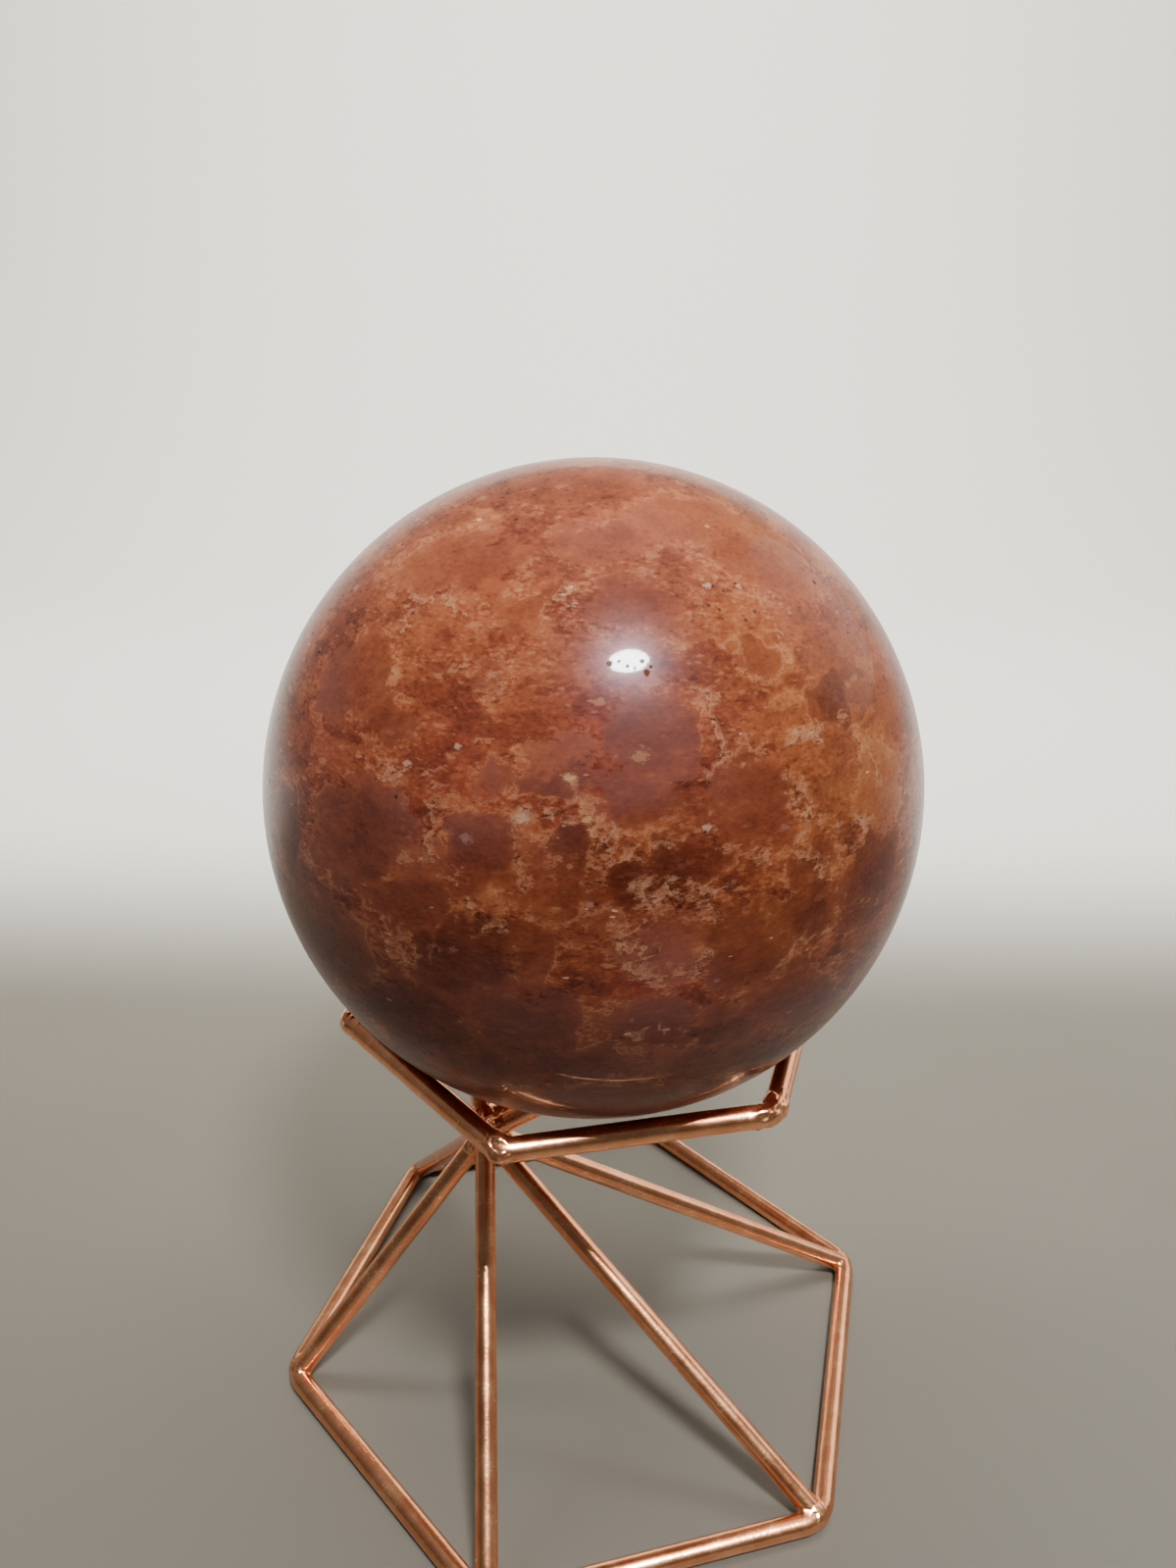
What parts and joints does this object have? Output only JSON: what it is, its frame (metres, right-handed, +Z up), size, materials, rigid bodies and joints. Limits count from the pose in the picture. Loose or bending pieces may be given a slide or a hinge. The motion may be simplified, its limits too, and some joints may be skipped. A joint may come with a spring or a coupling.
{
  "type": "sunstone sphere on a copper wire stand",
  "caption": "Polished orange-brown sunstone sphere resting on a small soldered copper wire stand with a hexagonal foot, a waist and a hexagonal ring.",
  "frame": {"origin": "centre of the foot, on the surface it stands on", "axes": "+Z up through the centre of the sphere, -Y towards the front corner of the foot"},
  "size_m": [0.0704, 0.0812, 0.1157],
  "materials": {
    "sunstone": "polished translucent red-brown feldspar with orange clouds and healed cracks",
    "copper_wire": "bright copper plated wire, soldered joints"
  },
  "bodies": {
    "root": {"sunstone_sphere": "sunstone", "foot_ring": "copper_wire", "stone_ring": "copper_wire", "leg_front": "copper_wire", "leg_right": "copper_wire", "leg_rear_right": "copper_wire", "leg_rear_left": "copper_wire", "leg_left": "copper_wire", "strut_front": "copper_wire", "strut_right": "copper_wire", "strut_rear": "copper_wire", "strut_rear_left": "copper_wire", "strut_left": "copper_wire"}
  },
  "joints": []
}
